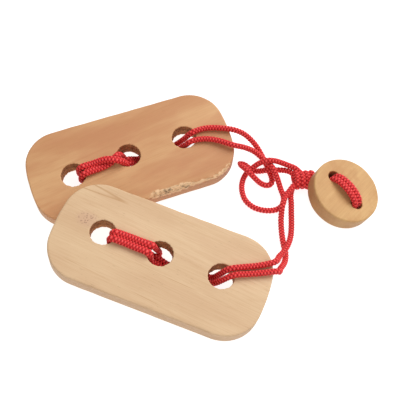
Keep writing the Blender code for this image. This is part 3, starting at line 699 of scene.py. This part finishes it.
def inside(point, outline, margin):
    """Whether a point lies in a convex, counter-clockwise outline, at least the margin from its edge."""
    for a, b in zip(outline[::4], [*outline[4::4], outline[0]]):
        if (b - a).length > 0 and (b - a).normalized().cross(point - a) < margin:
            return False
    return True


def rear_torn(x, y):
    """How torn the edge is: the near side's right half kept some of the bark's rough face."""
    if y > -BOARD_WIDTH / 2 + 0.016:
        return 0.0
    rise = min(1.0, max(0.0, (x - 0.000) / 0.005))
    thin = 0.56 + 0.44 * min(1.0, max(0.0, (0.030 - x) / 0.008))
    fall = min(1.0, max(0.0, (0.0575 - x) / 0.006))
    return rise * thin * fall * (0.60 + 0.40 * (0.5 + 0.5 * noise.noise(Vector((x * 260.0, 3.0, 0.0)))))


def board(name, holes, lies, paint, bore, torn_at=None, seed=0.0):
    piece = WoodPiece(board_outline(), holes, HOLE_RADIUS, BOARD_THICKNESS, torn_at, seed)
    made = piece.build(name, [paint, bore], lies)
    return made


# ================================================================ the cord's pieces
SAMPLE = BRAID_STEP / STEPS_PER_V
REAR_FOLD = (0.0229, 0.0337, 0.0041)  # the tip of the sharp fold in the rear loop


def pressed(line, lies):
    """How far each point of a loop is pressed flat: where it lies on a board between its last two holes."""
    turn = np.array(lies.inverted())
    local = line @ turn[:3, :3].T + turn[:3, 3]
    x, z = local[:, 0], local[:, 2]
    within = np.clip((x + 0.0640) / 0.0030, 0, 1) * np.clip((-0.0375 - x) / 0.0030, 0, 1)
    above = np.clip((z - 0.0085) / 0.0025, 0, 1)
    return within * above, tuple(lies.to_3x3().col[2])


def rear_loop(lies, paint):
    route = [(0.0590, 0.0245, 0.0070), *REAR_STRAND_1, *placed(lies, REAR_DIVE_1 + REAR_LACING)]
    route += placed(lies, reversed(REAR_DIVE_2)) + list(reversed(REAR_STRAND_2)) + [(0.0570, 0.0225, 0.0050)]
    line = smooth(route, SAMPLE)
    flat, normal = pressed(line, lies)
    fold = np.linalg.norm(line - np.array(REAR_FOLD), axis=1)
    pinch = 1.0 - 0.62 * np.exp(-((fold / 0.0034) ** 2))
    return braided_tube("rear_loop", line, paint, flat, normal, pinch), line


def front_loop(lies, paint):
    route = [(0.0570, 0.0195, 0.0050), *FRONT_STRAND_1, *placed(lies, FRONT_CLIMB_1 + FRONT_LACING)]
    route += placed(lies, reversed(FRONT_CLIMB_2)) + list(reversed(FRONT_STRAND_2))
    route.append((0.0548, 0.0186, 0.0035))
    line = smooth(route, SAMPLE)
    flat, normal = pressed(line, lies)
    return braided_tube("front_loop", line, paint, flat, normal), line


def disc_strand(number, side, lies, paint):
    """One strand through the disc's holes, beside the line through them."""
    first, second = (Vector((x, y, 0.0)) for x, y in DISC_HOLES)
    along = (second - first).normalized()
    across = Vector((-along.y, along.x, 0.0)) * side * DISC_STRAND_GAP / 2
    route = [lies @ (first + along * t + across + Vector((0.0, 0.0, h))) for t, h in DISC_ROUTE]
    middle = Vector((0.0625, *KNOT_MIDDLE))
    line = smooth([middle + Vector((0.0, 0.0, 0.001)), *route, middle - Vector((0.0, 0.0, 0.001))], SAMPLE)
    normal = lies.to_3x3().col[2]
    height = (line - np.array(lies.translation)) @ np.array(normal)
    flat = 0.5 * np.clip((height - 0.0100) / 0.0030, 0, 1)
    return braided_tube(f"disc_strand_{number}_braid", line, paint, flat, tuple(normal)), line


def knot_turns(paint):
    """The knot: turns of cord pulled tight side by side, and the nub where the cord leaves for the disc."""
    points = [(0.0578, 0.0208, 0.0050), (0.0560, 0.0196, 0.0040)]
    steps = 14
    for i in range(3, KNOT_TURNS * steps + 1):
        t = i / steps
        a = 2 * math.pi * t - math.pi / 2
        swell = 1.0 + 0.05 * math.sin(2.3 * a + 0.6)
        lean = KNOT_LEAN * math.sin(a)
        x = KNOT_START + KNOT_PITCH * t + lean
        y = KNOT_MIDDLE[0] + KNOT_RADII[0] * swell * math.cos(a)
        points.append((x, y, KNOT_MIDDLE[1] + KNOT_RADII[1] * swell * math.sin(a)))
    points += KNOT_NUB
    return braided_tube("knot_turns", smooth(points, SAMPLE), paint)


# ================================================================ stage
def stage():
    mesh = bpy.data.meshes.new("floor")
    reach = 3.0
    corners = [(-reach, -reach, 0), (reach, -reach, 0), (reach, reach, 0), (-reach, reach, 0)]
    mesh.from_pydata(corners, [], [(0, 1, 2, 3)])
    n = Nodes("floor_white")
    n.shader.inputs["Base Color"].default_value = (0.42, 0.42, 0.42, 1.0)
    n.shader.inputs["Roughness"].default_value = 0.9
    n.shader.inputs["Specular IOR Level"].default_value = 0.0
    # a lit table: it stays white under the boards too, and its shadows stay faint
    n.shader.inputs["Emission Color"].default_value = (1.0, 1.0, 1.0, 1.0)
    n.shader.inputs["Emission Strength"].default_value = 0.86
    mesh.materials.append(n.material)
    floor = bpy.data.objects.new("floor", mesh)
    bpy.context.collection.objects.link(floor)

    world = bpy.data.worlds.new("studio")
    bpy.context.scene.world = world
    world.use_nodes = True
    world.node_tree.nodes["Background"].inputs["Color"].default_value = (1.0, 1.0, 1.0, 1.0)
    world.node_tree.nodes["Background"].inputs["Strength"].default_value = 0.42

    for name, place, size, energy in (
        ("key", (0.42, 0.40, 0.70), 0.80, 6.6),
        ("fill", (-0.10, -0.60, 0.60), 0.7, 1.2),
    ):
        light = bpy.data.lights.new(name, "AREA")
        light.shape, light.size, light.energy = "DISK", size, energy
        lamp = bpy.data.objects.new(name, light)
        lamp.location = place
        lamp.rotation_euler = (Vector((0.0, 0.0, 0.0)) - Vector(place)).to_track_quat("-Z", "Y").to_euler()
        bpy.context.collection.objects.link(lamp)


def camera():
    data = bpy.data.cameras.new("camera")
    data.lens, data.sensor_width = CAMERA_LENS, 36.0
    made = bpy.data.objects.new("camera", data)
    made.location = CAMERA_PLACE
    made.rotation_euler = (CAMERA_TARGET - CAMERA_PLACE).to_track_quat("-Z", "Y").to_euler()
    bpy.context.collection.objects.link(made)
    bpy.context.scene.camera = made
    bpy.context.scene.view_settings.view_transform = "Standard"


# ================================================================ everything
camera()
stage()

rear_lies = lying(REAR_PLACE, REAR_HEADING, REAR_LEAN)
front_lies = lying(FRONT_PLACE, FRONT_HEADING, FRONT_LEAN)
disc_lies = lying(DISC_PLACE, DISC_HEADING, DISC_LEAN)
rear_hole = rear_lies @ Matrix.Translation((*REAR_HOLES[0], 0.0))
front_hole = front_lies @ Matrix.Translation((*FRONT_HOLES[0], 0.0))

red = cord_material()
knot = knot_turns(red)
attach(knot, "cord")
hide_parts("knot")

loop, line = rear_loop(rear_hole, red)
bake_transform(loop)
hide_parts("rear_strand_1", "rear_strand_2", "rear_lacing")

loop, line = front_loop(front_hole, red)
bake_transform(loop)
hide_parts("front_strand_1", "front_strand_2", "front_lacing")

for number, side in ((1, 1.0), (2, -1.0)):
    strand, line = disc_strand(number, side, disc_lies, red)
    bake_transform(strand)
    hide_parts(f"disc_strand_{number}")

bore = bore_material()
for name, holes, lies, paint, torn_at, seed in (
    ("rear_board", REAR_HOLES, rear_lies, rear_wood_material(), rear_torn, 0.0),
    ("front_board", FRONT_HOLES, front_lies, front_wood_material(), None, 20.0),
):
    piece = board(name + "_wood", holes, lies, paint, bore, torn_at, seed)
    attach(piece, name)
    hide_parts(name)

round_outline = arc((0.0, 0.0), DISC_RADIUS, 0.0, 2 * math.pi, 200)[:-1]
disc = WoodPiece(round_outline, DISC_HOLES, DISC_HOLE_RADIUS, BOARD_THICKNESS, None, 40.0)
disc = disc.build("disc_wood", [disc_wood_material(), bore], disc_lies)
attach(disc, "disc")
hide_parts("disc")

bpy.context.view_layer.update()
